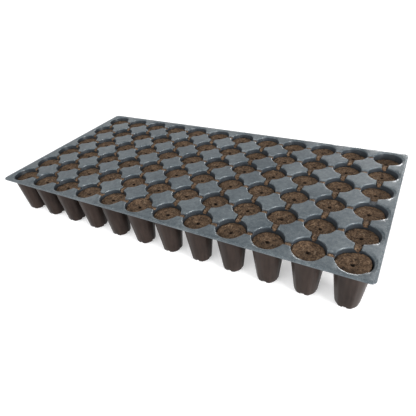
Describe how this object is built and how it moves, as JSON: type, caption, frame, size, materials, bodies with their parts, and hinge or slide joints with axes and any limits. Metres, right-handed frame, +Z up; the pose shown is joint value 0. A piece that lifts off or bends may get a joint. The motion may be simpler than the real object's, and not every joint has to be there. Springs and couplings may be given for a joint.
{
  "type": "plug tray",
  "caption": "Thermoformed nursery tray of round tapered cells joined by shallow saddles, each cell filled with a dibbled plug of bonded growing medium.",
  "frame": {"origin": "middle of the footprint, on the surface that the tray stands on", "axes": "+X along the tray's long side, +Y across the tray, +Z up out of the cell mouths"},
  "size_m": [0.54, 0.2724, 0.0595],
  "materials": {
    "tray_plastic": "satin",
    "growing_medium": "matte"
  },
  "bodies": {
    "tray": {"back_edge_islands": "tray_plastic", "back_rim": "tray_plastic", "corner_islands": "tray_plastic", "crosswise_saddle_fill": "growing_medium", "crosswise_saddles": "tray_plastic", "cup_bases": "tray_plastic", "cup_row_01": "tray_plastic", "cup_row_02": "tray_plastic", "cup_row_03": "tray_plastic", "cup_row_04": "tray_plastic", "cup_row_05": "tray_plastic", "cup_row_06": "tray_plastic", "cup_row_07": "tray_plastic", "cup_row_08": "tray_plastic", "cup_row_09": "tray_plastic", "cup_row_10": "tray_plastic", "cup_row_11": "tray_plastic", "cup_row_12": "tray_plastic", "deck_islands": "tray_plastic", "front_edge_islands": "tray_plastic", "front_rim": "tray_plastic", "left_end_islands": "tray_plastic", "left_rim": "tray_plastic", "lengthwise_saddle_fill": "growing_medium", "lengthwise_saddles": "tray_plastic", "right_end_islands": "tray_plastic", "right_rim": "tray_plastic"},
    "plugs_01": {"plug_row_01": "growing_medium"},
    "plugs_02": {"plug_row_02": "growing_medium"},
    "plugs_03": {"plug_row_03": "growing_medium"},
    "plugs_04": {"plug_row_04": "growing_medium"},
    "plugs_05": {"plug_row_05": "growing_medium"},
    "plugs_06": {"plug_row_06": "growing_medium"},
    "plugs_07": {"plug_row_07": "growing_medium"},
    "plugs_08": {"plug_row_08": "growing_medium"},
    "plugs_09": {"plug_row_09": "growing_medium"},
    "plugs_10": {"plug_row_10": "growing_medium"},
    "plugs_11": {"plug_row_11": "growing_medium"},
    "plugs_12": {"plug_row_12": "growing_medium"}
  },
  "joints": [
    {"name": "lift_01", "type": "slide", "parent": "tray", "child": "plugs_01", "axis": [0, 0, 1], "range_m": [0, 0.067]},
    {"name": "lift_02", "type": "slide", "parent": "tray", "child": "plugs_02", "axis": [0, 0, 1], "range_m": [0, 0.067]},
    {"name": "lift_03", "type": "slide", "parent": "tray", "child": "plugs_03", "axis": [0, 0, 1], "range_m": [0, 0.067]},
    {"name": "lift_04", "type": "slide", "parent": "tray", "child": "plugs_04", "axis": [0, 0, 1], "range_m": [0, 0.067]},
    {"name": "lift_05", "type": "slide", "parent": "tray", "child": "plugs_05", "axis": [0, 0, 1], "range_m": [0, 0.067]},
    {"name": "lift_06", "type": "slide", "parent": "tray", "child": "plugs_06", "axis": [0, 0, 1], "range_m": [0, 0.067]},
    {"name": "lift_07", "type": "slide", "parent": "tray", "child": "plugs_07", "axis": [0, 0, 1], "range_m": [0, 0.067]},
    {"name": "lift_08", "type": "slide", "parent": "tray", "child": "plugs_08", "axis": [0, 0, 1], "range_m": [0, 0.067]},
    {"name": "lift_09", "type": "slide", "parent": "tray", "child": "plugs_09", "axis": [0, 0, 1], "range_m": [0, 0.067]},
    {"name": "lift_10", "type": "slide", "parent": "tray", "child": "plugs_10", "axis": [0, 0, 1], "range_m": [0, 0.067]},
    {"name": "lift_11", "type": "slide", "parent": "tray", "child": "plugs_11", "axis": [0, 0, 1], "range_m": [0, 0.067]},
    {"name": "lift_12", "type": "slide", "parent": "tray", "child": "plugs_12", "axis": [0, 0, 1], "range_m": [0, 0.067]}
  ]
}
